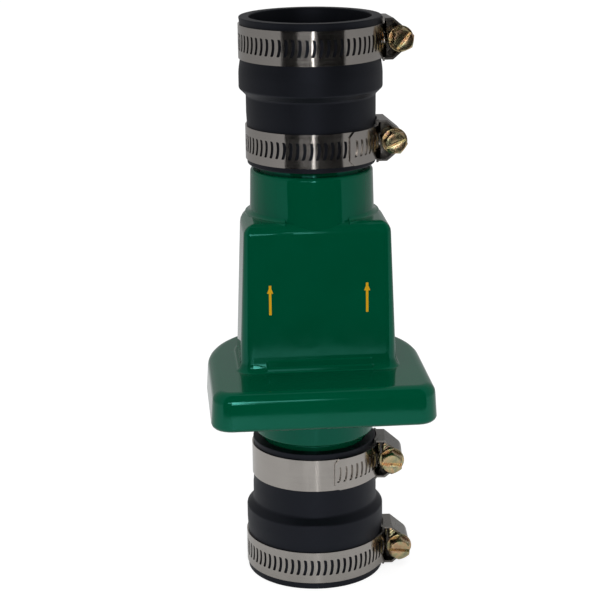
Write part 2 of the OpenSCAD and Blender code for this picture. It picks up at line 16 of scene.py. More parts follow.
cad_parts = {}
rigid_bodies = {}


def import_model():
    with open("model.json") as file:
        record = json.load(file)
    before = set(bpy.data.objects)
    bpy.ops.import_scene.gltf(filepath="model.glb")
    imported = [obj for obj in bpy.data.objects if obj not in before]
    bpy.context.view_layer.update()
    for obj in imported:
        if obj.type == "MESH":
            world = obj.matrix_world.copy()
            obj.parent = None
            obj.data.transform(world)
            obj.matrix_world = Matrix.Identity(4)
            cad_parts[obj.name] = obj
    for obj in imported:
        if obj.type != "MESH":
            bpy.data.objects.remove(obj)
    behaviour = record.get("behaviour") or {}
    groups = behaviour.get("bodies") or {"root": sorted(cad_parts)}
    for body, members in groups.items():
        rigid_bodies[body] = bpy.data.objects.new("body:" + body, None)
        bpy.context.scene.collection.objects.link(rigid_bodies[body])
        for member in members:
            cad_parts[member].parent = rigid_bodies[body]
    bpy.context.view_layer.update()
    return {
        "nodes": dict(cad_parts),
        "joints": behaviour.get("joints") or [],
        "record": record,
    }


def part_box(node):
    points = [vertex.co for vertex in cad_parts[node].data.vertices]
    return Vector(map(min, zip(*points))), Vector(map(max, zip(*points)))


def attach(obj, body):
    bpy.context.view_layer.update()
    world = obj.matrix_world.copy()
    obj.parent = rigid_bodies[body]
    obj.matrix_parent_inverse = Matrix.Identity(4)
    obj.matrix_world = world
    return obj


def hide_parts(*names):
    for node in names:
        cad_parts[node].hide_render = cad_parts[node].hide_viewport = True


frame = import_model()

# %% [markdown]
# ## Working like a modeller, from a script
#
# Blender's operators act on whatever is selected, and loading the frame leaves its parts selected.
# So each step first selects exactly what it works on. Sizes are written in millimetres and turned
# to metres with one factor.

# %% Selecting objects and switching to edit mode
MM = 0.001


def select_only(*objects):
    """Selects these objects and makes the first one active."""
    bpy.ops.object.select_all(action="DESELECT")
    for item in objects:
        item.select_set(True)
    bpy.context.view_layer.objects.active = objects[0]


def edit(piece, kind="FACE"):
    """Opens a piece in edit mode with nothing selected in it."""
    select_only(piece)
    bpy.ops.object.mode_set(mode="EDIT")
    bpy.ops.mesh.select_mode(type=kind)
    bpy.ops.mesh.select_all(action="DESELECT")


def pick(piece, kind, wanted):
    """Opens a piece in edit mode with the faces, edges or vertices selected that wanted() accepts.

    wanted() gets a face's normal and centre, an edge's two ends or a vertex's place.
    """
    edit(piece, kind)
    bpy.ops.object.mode_set(mode="OBJECT")
    mesh = piece.data
    place = [v.co for v in mesh.vertices]
    if kind == "FACE":
        for face in mesh.polygons:
            face.select = wanted(face.normal, face.center)
    elif kind == "EDGE":
        for line in mesh.edges:
            line.select = wanted(place[line.vertices[0]], place[line.vertices[1]])
    else:
        for point in mesh.vertices:
            point.select = wanted(point.co)
    bpy.ops.object.mode_set(mode="EDIT")


def done():
    """Goes back to object mode."""
    bpy.ops.object.mode_set(mode="OBJECT")


def settle(piece):
    """Moves a piece's place and turn into its mesh, so that its object sits at the origin."""
    select_only(piece)
    bpy.ops.object.transform_apply(location=True, rotation=True, scale=True)


def modify(piece, kind, **settings):
    """Adds a modifier with these settings and applies it."""
    select_only(piece)
    modifier = piece.modifiers.new(kind.lower(), kind)
    for key, value in settings.items():
        setattr(modifier, key, value)
    bpy.ops.object.modifier_apply(modifier=modifier.name)


# %% [markdown]
# ## The camera
#
# The photograph was taken from about 0.7 m in front of the valve, looking down a little and from
# slightly left. A long lens at that distance keeps the round rims narrow without making them flat.
# The camera's turn is built from three simple turns: heading, tilt and a small roll.

# %% Camera at the photograph's viewing angle
CAMERA_PLACE = Vector((-64.3, -691.0, 317.2)) * MM
HEADING = 4.885  # degrees to the right of straight ahead
LOOK_DOWN = 16.17
ROLL = -0.7
LENS = 105.9  # mm, on a sensor 36 mm wide

bpy.ops.object.camera_add(location=CAMERA_PLACE)
camera = bpy.context.object
camera.name = "photograph_camera"
turn = (
    Matrix.Rotation(math.radians(-HEADING), 3, "Z")
    @ Matrix.Rotation(math.radians(90 - LOOK_DOWN), 3, "X")
    @ Matrix.Rotation(math.radians(ROLL), 3, "Z")
)
camera.rotation_euler = turn.to_euler()
camera.data.lens = LENS
camera.data.sensor_width = 36
bpy.context.scene.camera = camera
print("camera stands", round(CAMERA_PLACE.length, 3), "m from the valve's foot")

# %% [markdown]
# ## Nodes and colours
#
# A finish is a small tree of nodes. One helper adds a node with its settings and plugs it in, and
# another turns a hex colour into the linear numbers that Blender works with.

# %% Helpers for finishes
def colour(hex_code):
    """sRGB hex value as a linear RGBA colour."""
    parts = [int(hex_code[i:i + 2], 16) / 255 for i in (1, 3, 5)]
    return [p / 12.92 if p <= 0.04045 else ((p + 0.055) / 1.055) ** 2.4 for p in parts] + [1]


def add_node(tree, kind, sockets=None, **settings):
    """Adds a node. settings are its own properties. sockets gives, by name or number of an input,
    its value or the output that feeds it."""
    node = tree.nodes.new("ShaderNode" + kind)
    for key, value in settings.items():
        setattr(node, key, value)
    for key, value in (sockets or {}).items():
        if isinstance(value, bpy.types.NodeSocket):
            tree.links.new(value, node.inputs[key])
        else:
            node.inputs[key].default_value = value
    return node


def start_finish(name, **sockets):
    """New material with these values set on its shader, and its node tree and object coordinates."""
    material = bpy.data.materials.new(name)
    material.use_nodes = True
    tree = material.node_tree
    shader = tree.nodes["Principled BSDF"]
    for key, value in sockets.items():
        shader.inputs[key.replace("_", " ")].default_value = value
    place = add_node(tree, "TexCoord").outputs["Object"]
    return material, tree, shader, place


def reckon(tree, operation, *values):
    """Output of a Math node."""
    return add_node(tree, "Math", dict(enumerate(values)), operation=operation).outputs[0]


def per_mm(size):
    """Scale of a noise texture whose spots are size millimetres apart."""
    return 1 / (size * MM)


# %% [markdown]
# ## The studio
#
# The valve stands on a pale table with a white ground all round. A narrow upright lamp and a wide
# low one stand behind the camera and draw the highlights, and a soft one fills from above. The
# floor and the world look white to the camera through Light Path, which costs the object no extra
# light. Shiny parts see the studio: in the world, pale behind and at the sides and dark in front.
# The floor's colour, seen by every ray but the camera's, holds painted light: a painted pool of
# light makes it whiter by the valve, and beyond the table's front edge ahead it is painted black,
# a painted shade for the dark room. That darkness keeps the green deep, and it draws the dark
# middle of the two upper bands. The lower bands see the table instead, which has a faint sheen.

# %% Pale floor that keeps the shadow
FLOOR_SIZE = 9
FLOOR_SEEN = 0.82  # the floor's own white, which the shadow doesn't darken
FLOOR_LIT = 0.36  # what the lamps add to it outside the shadow
PAINTED_LIGHT_NEAR, PAINTED_LIGHT_FAR = 0.85, 0.5  # painted light: the floor's colour is whiter by the valve than 0.7 m from it, seen in reflections
TABLE_SHEEN = 0.05
TABLE_EDGE = 400  # mm from the valve to the table's front edge
DARK_HALF = 51  # degrees to each side of straight ahead in which the room is dark

bpy.ops.mesh.primitive_plane_add(size=FLOOR_SIZE, location=(0, 0, 0))
floor = bpy.context.object
floor.name = "pale_table"
settle(floor)
paper = bpy.data.materials.new("matt_white_paper")
paper.use_nodes = True
tree = paper.node_tree
tree.nodes.clear()
ray = add_node(tree, "LightPath").outputs
place = add_node(tree, "TexCoord").outputs["Object"]
from_foot = add_node(tree, "VectorMath", {0: place}, operation="LENGTH").outputs["Value"]
# Painted light: the floor's colour is whiter by the valve and fades 0.7 m away, a painted pool of light.
tone = add_node(tree, "MapRange", {"Value": from_foot, "From Min": 0.25, "From Max": 0.7,
                                   "To Min": PAINTED_LIGHT_NEAR, "To Max": PAINTED_LIGHT_FAR}).outputs[0]
ahead = reckon(tree, "DIVIDE", add_node(tree, "SeparateXYZ", {0: place}).outputs["Y"], from_foot)
# Painted shade: ahead, beyond the table's front edge, the floor's colour and sheen are painted black for
# the dark room.
ends = reckon(tree, "GREATER_THAN", from_foot, TABLE_EDGE * MM)
painted_room_shade = reckon(tree, "MULTIPLY", ends, reckon(tree, "LESS_THAN", ahead,
                                            -math.cos(math.radians(DARK_HALF))))
table = reckon(tree, "SUBTRACT", 1.0, painted_room_shade)
matt = add_node(tree, "BsdfDiffuse", {"Color": reckon(tree, "MULTIPLY", tone, table)})
sheen = add_node(tree, "BsdfGlossy", {"Color": reckon(tree, "MULTIPLY", TABLE_SHEEN, table),
                                      "Roughness": 0.2})
plain = add_node(tree, "AddShader", {0: matt.outputs[0], 1: sheen.outputs[0]})
lit = add_node(tree, "BsdfDiffuse", {"Color": [FLOOR_LIT] * 3 + [1]})
glow = add_node(tree, "Emission", {"Color": [FLOOR_SEEN] * 3 + [1], "Strength": 1})
white = add_node(tree, "AddShader", {0: lit.outputs[0], 1: glow.outputs[0]})
shown = add_node(tree, "MixShader", {0: ray["Is Camera Ray"], 1: plain.outputs[0], 2: white.outputs[0]})
add_node(tree, "OutputMaterial", {"Surface": shown.outputs[0]})
floor.data.materials.append(paper)
print("floor is", FLOOR_SIZE, "m wide")

# %% World: white to the camera, a studio to shiny surfaces
SOFT_LIGHT = 0.62
STUDIO_SIDE = 0.30
STUDIO_BACK = 0.36

world = bpy.data.worlds.new("white_studio")
bpy.context.scene.world = world
world.use_nodes = True
tree = world.node_tree
tree.nodes.clear()
ray = add_node(tree, "LightPath").outputs
flat = add_node(tree, "VectorMath", {0: add_node(tree, "TexCoord").outputs["Generated"],
                                     1: (1, 1, 0)}, operation="MULTIPLY")
heading = add_node(tree, "VectorMath", {0: flat.outputs[0]}, operation="NORMALIZE")
way = add_node(tree, "SeparateXYZ", {0: heading.outputs[0]})
across = add_node(tree, "MapRange", {"Value": way.outputs["Y"], "From Min": -1.0, "From Max": 1.0})
walls = add_node(tree, "ValToRGB", {"Fac": across.outputs[0]})
edge = (1 - math.cos(math.radians(DARK_HALF))) / 2
ramp = walls.color_ramp
ramp.elements[0].position, ramp.elements[0].color = edge - 0.01, (0, 0, 0, 1)
ramp.elements[1].position, ramp.elements[1].color = 1.0, [STUDIO_BACK] * 3 + [1]
ramp.elements.new(edge + 0.01).color = [STUDIO_SIDE] * 3 + [1]
shiny = add_node(tree, "Math", {0: ray["Is Glossy Ray"], 1: ray["Is Transmission Ray"]},
                 operation="MAXIMUM")
seen_by_gloss = add_node(tree, "Mix", {"Factor": shiny.outputs[0], "A": SOFT_LIGHT,
                                       "B": walls.outputs[0]})
seen = add_node(tree, "Mix", {"Factor": ray["Is Camera Ray"], "A": seen_by_gloss.outputs[0], "B": 1.0})
ground = add_node(tree, "Background", {"Color": colour("#ffffff"), "Strength": seen.outputs[0]})
add_node(tree, "OutputWorld", {"Surface": ground.outputs[0]})

# %% Lamps
AIM = Vector((0, 0, 120)) * MM


def softbox(name, away, height, side, width, tall, power):
    """Area lamp that looks at the middle of the valve. away is in metres, height and side in degrees."""
    up, across = math.radians(height), math.radians(side)
    place = AIM + away * Vector((math.sin(across) * math.cos(up), -math.cos(across) * math.cos(up),
                                 math.sin(up)))
    bpy.ops.object.light_add(type="AREA", location=place)
    lamp = bpy.context.object
    lamp.name = name
    lamp.data.shape = "RECTANGLE"
    lamp.data.size, lamp.data.size_y = width, tall
    lamp.data.energy = power
    lamp.rotation_euler = (AIM - place).to_track_quat("-Z", "Y").to_euler()
    print(name, "stands at", [round(v, 2) for v in place])
    return lamp


softbox("upright_lamp", away=1.3, height=6.5, side=-1, width=0.09, tall=0.54, power=0.95)
softbox("wide_lamp", away=1.3, height=10, side=-10, width=0.7, tall=0.2, power=1.25)
soft = softbox("soft_lamp", away=1.35, height=44, side=-6, width=0.6, tall=0.5, power=4.3)
soft.visible_glossy = False  # it only fills, and no shiny part shows it

# %% [markdown]
# ## Finishes
#
# Each finish starts from what the real surface is made of. The pattern on it is as wide as the
# real one, or as coarse as it must be to show at all.

# %% [markdown]
# ### Green casing plastic
# The casing is injection moulded ABS in bottle green. A polished mould leaves it glossy, with a
# very shallow waviness where the wall shrank as it cooled, and slight streaks in the colour where
# the pigment flowed. That gives sharp highlights that wobble a little on the flat faces. Two
# yellow arrows are printed on the front and show which way the water flows. Ink has no thickness
# worth modelling, so the arrows are drawn in the finish, by measuring each point's distance from
# an arrow's line.

# %% Moulded ABS
ARROW_X = 19.2  # mm, from the middle to each arrow's line
ARROW_TIP = 129.8
ARROW_LEN = 12
HEAD_LEN = 3.2
HEAD_HALF = 1.25
SHAFT_HALF = 0.5
PRINT_BEFORE = -24.5  # mm, only the front wall's outside lies before this

casing_abs, tree, shader, place = start_finish(
    "moulded_abs", Base_Color=colour("#005034"), Roughness=0.1, IOR=1.58,
    Specular_Tint=colour("#80fff0"))
streaks = add_node(tree, "TexNoise", {"Vector": place, "Scale": per_mm(22), "Detail": 3.0})
mixed = add_node(tree, "Mix", {"Factor": streaks.outputs[0], "A": colour("#00482e"),
                               "B": colour("#005036")}, data_type="RGBA")


spot = add_node(tree, "SeparateXYZ", {0: place}).outputs
beside = reckon(tree, "ABSOLUTE", reckon(tree, "SUBTRACT", reckon(tree, "ABSOLUTE", spot["X"]),
                                         ARROW_X * MM))
below_tip = reckon(tree, "SUBTRACT", ARROW_TIP * MM, spot["Z"])
head_half = reckon(tree, "MULTIPLY", below_tip, HEAD_HALF / HEAD_LEN)
in_head = reckon(tree, "MULTIPLY", reckon(tree, "LESS_THAN", beside, head_half),
                 reckon(tree, "LESS_THAN", below_tip, HEAD_LEN * MM))
in_shaft = reckon(tree, "MULTIPLY", reckon(tree, "LESS_THAN", beside, SHAFT_HALF * MM),
                  reckon(tree, "COMPARE", below_tip, ARROW_LEN / 2 * MM, ARROW_LEN / 2 * MM))
on_front = reckon(tree, "LESS_THAN", spot["Y"], PRINT_BEFORE * MM)
printed = reckon(tree, "MULTIPLY", on_front, reckon(tree, "MAXIMUM", in_head, in_shaft))
inked = add_node(tree, "Mix", {"Factor": printed, "A": mixed.outputs[2], "B": colour("#d9a520")},
                 data_type="RGBA")
tree.links.new(inked.outputs[2], shader.inputs["Base Color"])
dust = add_node(tree, "TexNoise", {"Vector": place, "Scale": per_mm(5), "Detail": 6.0})
haze = add_node(tree, "MapRange", {"Value": dust.outputs[0], "From Min": 0.35, "From Max": 0.75,
                                   "To Min": 0.05, "To Max": 0.10})
tree.links.new(haze.outputs[0], shader.inputs["Roughness"])
waves = add_node(tree, "TexNoise", {"Vector": place, "Scale": per_mm(9), "Detail": 1.0})
relief = add_node(tree, "Bump", {"Height": waves.outputs[0], "Strength": 0.05, "Distance": 0.3 * MM})
tree.links.new(relief.outputs[0], shader.inputs["Normal"])

# %% [markdown]
# ### Coupling rubber
# The couplings are compression moulded EPDM. The rubber is nearly black with a satin skin, and a
# thin pale bloom lies on it in cloudy patches. Fine grain in the skin spreads the highlight.

# %% Moulded EPDM
coupling_epdm, tree, shader, place = start_finish(
    "moulded_epdm", Base_Color=colour("#0a0b0d"), Roughness=0.5, IOR=1.42,
    Specular_Tint=colour("#dce4ff"))
bloom = add_node(tree, "TexNoise", {"Vector": place, "Scale": per_mm(14), "Detail": 5.0,
                                    "Roughness": 0.6})
tone = add_node(tree, "Mix", {"Factor": bloom.outputs[0], "A": colour("#060709"),
                              "B": colour("#0d0e11")}, data_type="RGBA")
tree.links.new(tone.outputs[2], shader.inputs["Base Color"])
skin = add_node(tree, "MapRange", {"Value": bloom.outputs[0], "To Min": 0.42, "To Max": 0.58})
tree.links.new(skin.outputs[0], shader.inputs["Roughness"])
grain = add_node(tree, "TexNoise", {"Vector": place, "Scale": per_mm(0.5), "Detail": 3.0})
relief = add_node(tree, "Bump", {"Height": grain.outputs[0], "Strength": 0.25, "Distance": 0.1 * MM})
tree.links.new(relief.outputs[0], shader.inputs["Normal"])

# %% [markdown]
# ### Sheet rubber
# Gasket and flap are cut from calendered nitrile sheet. It is matt, and the rollers leave a faint
# even grain.

# %% Calendered nitrile sheet
sheet_nitrile, tree, shader, place = start_finish(
    "calendered_nitrile", Base_Color=colour("#222226"), Roughness=0.65, IOR=1.5)
patches = add_node(tree, "TexNoise", {"Vector": place, "Scale": per_mm(6), "Detail": 4.0})
tone = add_node(tree, "Mix", {"Factor": patches.outputs[0], "A": colour("#1c1c20"),
                              "B": colour("#2a2a2e")}, data_type="RGBA")
tree.links.new(tone.outputs[2], shader.inputs["Base Color"])
grain = add_node(tree, "TexNoise", {"Vector": place, "Scale": per_mm(0.6), "Detail": 2.0})
relief = add_node(tree, "Bump", {"Height": grain.outputs[0], "Strength": 0.3, "Distance": 0.1 * MM})
tree.links.new(relief.outputs[0], shader.inputs["Normal"])

# %% [markdown]
# ### Clamp band
# The bands are slit from cold rolled stainless strip. Rolling leaves fine lines along the strip, so
# a highlight is drawn out across it, into an upright bar with sharp sides. The strip runs round the
# Z axis: its direction at any point is Z crossed with the way out from the axis. A highlight
# stretches along the tangent, so the anisotropy is turned by a quarter from the strip's direction.
# The lines themselves are noise that is squeezed in height and drawn out round the axis, read from
# the height and the radius alone.

# %% Rolled stainless strip
LINE_SPACING = 0.25  # mm, the real lines are finer and would not show

band_steel, tree, shader, place = start_finish(
    "rolled_stainless", Base_Color=colour("#b2ada8"), Metallic=1.0, Roughness=0.17, Anisotropic=0.95,
    Anisotropic_Rotation=0.25)
along = add_node(tree, "VectorMath", {0: (0, 0, 1), 1: place}, operation="CROSS_PRODUCT")
tree.links.new(along.outputs[0], shader.inputs["Tangent"])
parts = add_node(tree, "SeparateXYZ", {0: place}).outputs
from_axis = add_node(tree, "VectorMath", {0: place, 1: (1, 1, 0)}, operation="MULTIPLY")
radius = add_node(tree, "VectorMath", {0: from_axis.outputs[0]}, operation="LENGTH")
level = add_node(tree, "CombineXYZ", {"X": radius.outputs["Value"], "Z": parts["Z"]})
lines = add_node(tree, "TexNoise", {"Vector": level.outputs[0], "Scale": per_mm(LINE_SPACING),
                                    "Detail": 2.0})
smudge = add_node(tree, "TexNoise", {"Vector": place, "Scale": per_mm(7), "Detail": 4.0})
both = add_node(tree, "Math", {0: lines.outputs[0], 1: smudge.outputs[0]}, operation="ADD")
wear = add_node(tree, "MapRange", {"Value": both.outputs[0], "From Min": 0.7, "From Max": 1.3,
                                   "To Min": 0.13, "To Max": 0.21})
tree.links.new(wear.outputs[0], shader.inputs["Roughness"])

# %% [markdown]
# ### Clamp housing
# A housing is stamped from thicker strip and folded over the screw. Tumbling dulls it a little and
# leaves small scratches in all directions.

# %% Stamped and tumbled steel
housing_steel, tree, shader, place = start_finish(
    "stamped_stainless", Base_Color=colour("#84817d"), Metallic=1.0, Roughness=0.3)
scuffs = add_node(tree, "TexNoise", {"Vector": place, "Scale": per_mm(1.5), "Detail": 6.0,
                                     "Roughness": 0.7, "Distortion": 1.5})
wear = add_node(tree, "MapRange", {"Value": scuffs.outputs[0], "From Min": 0.3, "From Max": 0.7,
                                   "To Min": 0.22, "To Max": 0.45})
tree.links.new(wear.outputs[0], shader.inputs["Roughness"])
relief = add_node(tree, "Bump", {"Height": scuffs.outputs[0], "Strength": 0.2, "Distance": 0.05 * MM})
tree.links.new(relief.outputs[0], shader.inputs["Normal"])

# %% [markdown]
# ### Screws
# The screws are cold headed steel, zinc plated and yellow passivated. The thin film shows gold,
# olive and rose side by side, as oil does on water. On the real screws the corners are rubbed to
# brighter metal; here fine rubbing marks only vary the gloss.

# %% Yellow passivated zinc
yellow_zinc, tree, shader, place = start_finish(
    "yellow_zinc", Base_Color=colour("#b3a283"), Metallic=1.0, Roughness=0.28)
film = add_node(tree, "TexNoise", {"Vector": place, "Scale": per_mm(3), "Detail": 3.0,
                                   "Distortion": 0.8})
hues = add_node(tree, "ValToRGB", {"Fac": film.outputs[0]})
ramp = hues.color_ramp
ramp.elements[0].position, ramp.elements[0].color = 0.30, colour("#98957c")
ramp.elements[1].position, ramp.elements[1].color = 0.72, colour("#b0958a")
for part, tint in ((0.42, "#aeaa82"), (0.52, "#ccb48c"), (0.62, "#c6a27c")):
    ramp.elements.new(part).color = colour(tint)
tree.links.new(hues.outputs[0], shader.inputs["Base Color"])
rub = add_node(tree, "TexNoise", {"Vector": place, "Scale": per_mm(0.7), "Detail": 4.0})
wear = add_node(tree, "MapRange", {"Value": rub.outputs[0], "To Min": 0.16, "To Max": 0.34})
tree.links.new(wear.outputs[0], shader.inputs["Roughness"])
relief = add_node(tree, "Bump", {"Height": rub.outputs[0], "Strength": 0.06, "Distance": 0.05 * MM})
tree.links.new(relief.outputs[0], shader.inputs["Normal"])

# %% [markdown]
# ### Steel inside the valve
# The weight plate and the washer are zinc plated and turned, so faint rings run round them. The
# rivet is plain stainless.

# %% Turned and plated steel, and the rivet's steel
RING_SPACING = 0.4  # mm

plated_steel, tree, shader, place = start_finish(
    "turned_plated_steel", Base_Color=colour("#a7a6a1"), Metallic=1.0, Roughness=0.35)
rings = add_node(tree, "TexWave", {"Vector": place, "Scale": per_mm(RING_SPACING) / 20,
                                   "Distortion": 0.6, "Detail": 2.0},
                 wave_type="RINGS", rings_direction="Z")
wear = add_node(tree, "MapRange", {"Value": rings.outputs["Fac"], "To Min": 0.28, "To Max": 0.42})
tree.links.new(wear.outputs[0], shader.inputs["Roughness"])
relief = add_node(tree, "Bump", {"Height": rings.outputs["Fac"], "Strength": 0.1,
                                 "Distance": 0.02 * MM})
tree.links.new(relief.outputs[0], shader.inputs["Normal"])

rivet_steel, tree, shader, place = start_finish(
    "headed_stainless", Base_Color=colour("#c0beb8"), Metallic=1.0, Roughness=0.25)
marks = add_node(tree, "TexNoise", {"Vector": place, "Scale": per_mm(0.8), "Detail": 4.0})
wear = add_node(tree, "MapRange", {"Value": marks.outputs[0], "To Min": 0.18, "To Max": 0.34})
tree.links.new(wear.outputs[0], shader.inputs["Roughness"])

# %% [markdown]
# ## Pieces that keep the CAD part's shape
#
# Casing, gasket and flap have their true shape in the frame already. What they lack is a broken
# edge that catches the light, and smooth shading over the curves with crisp flat faces. A CAD part
# is loose triangles, so a copy of it is merged into faces first. A bevel then breaks the sharp
# edges, and weighted normals keep the flat faces flat.

# %% Finished copy of a CAD part
def merged_copy(node):
    """Copy of a CAD node with its triangles merged into faces."""
    select_only(frame["nodes"][node])
    bpy.ops.object.duplicate()
    piece = bpy.context.object
    piece.name = node + "_finished"
    for key in list(piece.keys()):
        del piece[key]
    bpy.ops.object.parent_clear(type="CLEAR_KEEP_TRANSFORM")
    bpy.ops.mesh.customdata_custom_splitnormals_clear()
    edit(piece)
    bpy.ops.mesh.select_all(action="SELECT")
    bpy.ops.mesh.remove_doubles(threshold=0.002 * MM)
    bpy.ops.mesh.dissolve_limited(angle_limit=math.radians(0.6))
    done()
    return piece


def dress(piece, node, body, slot, finish, edge=0, steps=2, sharp=40):
    """Breaks a piece's edges by edge millimetres, shades it and puts it in a CAD node's place."""
    if edge:
        modify(piece, "BEVEL", width=edge * MM, segments=steps, limit_method="ANGLE",
               angle_limit=math.radians(sharp), use_clamp_overlap=True, miter_outer="MITER_ARC")
    select_only(piece)
    bpy.ops.object.shade_smooth_by_angle(angle=math.radians(sharp))
    modify(piece, "WEIGHTED_NORMAL", mode="FACE_AREA", weight=80, keep_sharp=True)
    piece.data.materials.clear()
    piece.data.materials.append(finish)
    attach(piece, body)
    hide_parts(node)
    print(piece.name, "has", len(piece.data.polygons), "faces")


def finished_copy(node, *details, **sizes):
    """Copy of a CAD node, merged and dressed."""
    dress(merged_copy(node), node, *details, **sizes)


def block(name, low, high):
    """Box between two corners given in millimetres."""
    low, high = Vector(low) * MM, Vector(high) * MM
    bpy.ops.mesh.primitive_cube_add(size=1, location=(low + high) / 2)
    piece = bpy.context.object
    piece.name = name
    piece.scale = high - low
    settle(piece)
    return piece


def cut(piece, tool, operation="DIFFERENCE"):
    """Cuts a piece with a tool, which is used up."""
    modify(piece, "BOOLEAN", object=tool, operation=operation, solver="EXACT")
    bpy.data.objects.remove(tool)


# %% [markdown]
# The roof's rounded edge runs right across the front, also in front of the neck. In the CAD part
# the neck's root covers it there, so a block with a hollow face shaves that stretch free. A rod of
# the edge's radius and a round as wide as the neck are first taken from the block.

# %% Upper casing with its roof edge rounded right across
EDGE_R = 4.5
EDGE_Z = 149.5  # mm, where the front wall ends and the rounding begins
FRONT = 25.3
NECK_FOOT_R = 25.01
FOOT_GAP = 0.04  # mm, how far a point may lie from the neck's foot and still be on it
ROOT_HALF = 12.6

shaver = block("edge_shaver", (-ROOT_HALF, -FRONT - 2, EDGE_Z), (ROOT_HALF, EDGE_R - FRONT, EDGE_Z + 9))
bpy.ops.mesh.primitive_cylinder_add(vertices=120, radius=EDGE_R * MM, depth=50 * MM,
                                    location=(0, (EDGE_R - FRONT) * MM, EDGE_Z * MM),
                                    rotation=(0, math.pi / 2, 0))
cut(shaver, bpy.context.object)
bpy.ops.mesh.primitive_cylinder_add(vertices=240, radius=NECK_FOOT_R * MM, depth=50 * MM,
                                    location=(0, 0, EDGE_Z * MM))
cut(shaver, bpy.context.object)
casing = merged_copy("upper_casing")
cut(casing, shaver)
at_foot = lambda p: (abs(math.hypot(p.x, p.y) - NECK_FOOT_R * MM) < FOOT_GAP * MM
                     and p.y < -20 * MM and EDGE_Z + 1 < p.z / MM < EDGE_Z + EDGE_R + 0.1)
pick(casing, "EDGE", lambda a, b: at_foot(a) and at_foot(b))
bpy.ops.mesh.mark_sharp()
done()
print("crease of", sum(e.use_edge_sharp for e in casing.data.edges), "edges below the neck")
dress(casing, "upper_casing", "valve", "green_plastic", casing_abs, edge=0.3)

# %% Lower casing, gasket and flap
finished_copy("lower_casing", "valve", "green_plastic", casing_abs, edge=0.3)
finished_copy("casing_gasket", "valve", "gasket_rubber", sheet_nitrile, edge=0.2)
finished_copy("flap_disc", "flap", "gasket_rubber", sheet_nitrile, edge=0.25)
finished_copy("flap_weight_plate", "flap", "plated_steel", plated_steel, edge=0.4)
finished_copy("flap_backing_washer", "flap", "plated_steel", plated_steel, edge=0.25)
finished_copy("flap_rivet", "flap", "rivet_steel", rivet_steel, edge=0)

# %% [markdown]
# ## The couplings
#
# A coupling is a stepped sleeve, made in a two part mould. It is drawn here as on a lathe: a circle
# is pulled up through the section's corners by extrude and resize, until it closes on itself. The
# corners are then rounded as the mould rounds them.

# %% Turned shapes
def turned(name, rings, steps=144):
    """Shape turned about Z through rings of [radius, height] in millimetres, closed on itself."""
    r, z = rings[0]
    bpy.ops.mesh.primitive_circle_add(vertices=steps, radius=r * MM, location=(0, 0, 0))
    piece = bpy.context.object
    piece.name = name
    edit(piece, "EDGE")
    bpy.ops.mesh.select_all(action="SELECT")
    bpy.ops.transform.translate(value=(0, 0, z * MM))
    for next_r, next_z in rings[1:] + rings[:1]:
        bpy.ops.mesh.extrude_region_move(
            TRANSFORM_OT_translate={"value": (0, 0, (next_z - z) * MM)})
        bpy.ops.transform.resize(value=(next_r / r, next_r / r, 1))
        r, z = next_r, next_z
    bpy.ops.mesh.select_all(action="SELECT")
    bpy.ops.mesh.remove_doubles(threshold=0.002 * MM)
    bpy.ops.mesh.normals_make_consistent(inside=False)
    done()
    return piece


def round_ring(piece, r, z, size, steps=4):
    """Rounds a turned piece's corner ring of that radius and height."""
    on_ring = lambda p: abs(math.hypot(p.x, p.y) - r * MM) < 0.01 * MM and abs(p.z - z * MM) < 0.01 * MM
    pick(piece, "EDGE", lambda a, b: on_ring(a) and on_ring(b))
    bpy.ops.mesh.bevel(offset=size * MM, segments=steps, profile=0.5)
    done()


# %% Rubber couplings
SPIGOT_R = 21.35
NARROW_WALL = 4.4
PIPE_R = frame["record"]["mounts"][0]["dims"]["r_mm"]
PIPE_DEPTH = frame["record"]["mounts"][0]["dims"]["length_mm"]
WIDE_LEN = 27.9
TAPER_LEN = 2.7
RIM = 0.5
GROOVE_RAMP = 5  # mm over which the rubber swells out again beside a band
BAND_FIT = 0.05
SQUEEZE = {"outlet_pipe": 0.8, "outlet_valve": 0.25, "inlet_valve": 0.5, "inlet_pipe": 0.35}

wide_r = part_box("inlet_coupling")[1].x / MM
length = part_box("inlet_coupling")[1].z / MM
narrow_r = SPIGOT_R + NARROW_WALL


def band_heights(clamp, mouth):
    """Heights of a band's two edges over the wide mouth, lowest first."""
    low, high = (abs(corner.z / MM - mouth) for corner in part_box(clamp + "_clamp_band"))
    return min(low, high) - BAND_FIT, max(low, high) + BAND_FIT


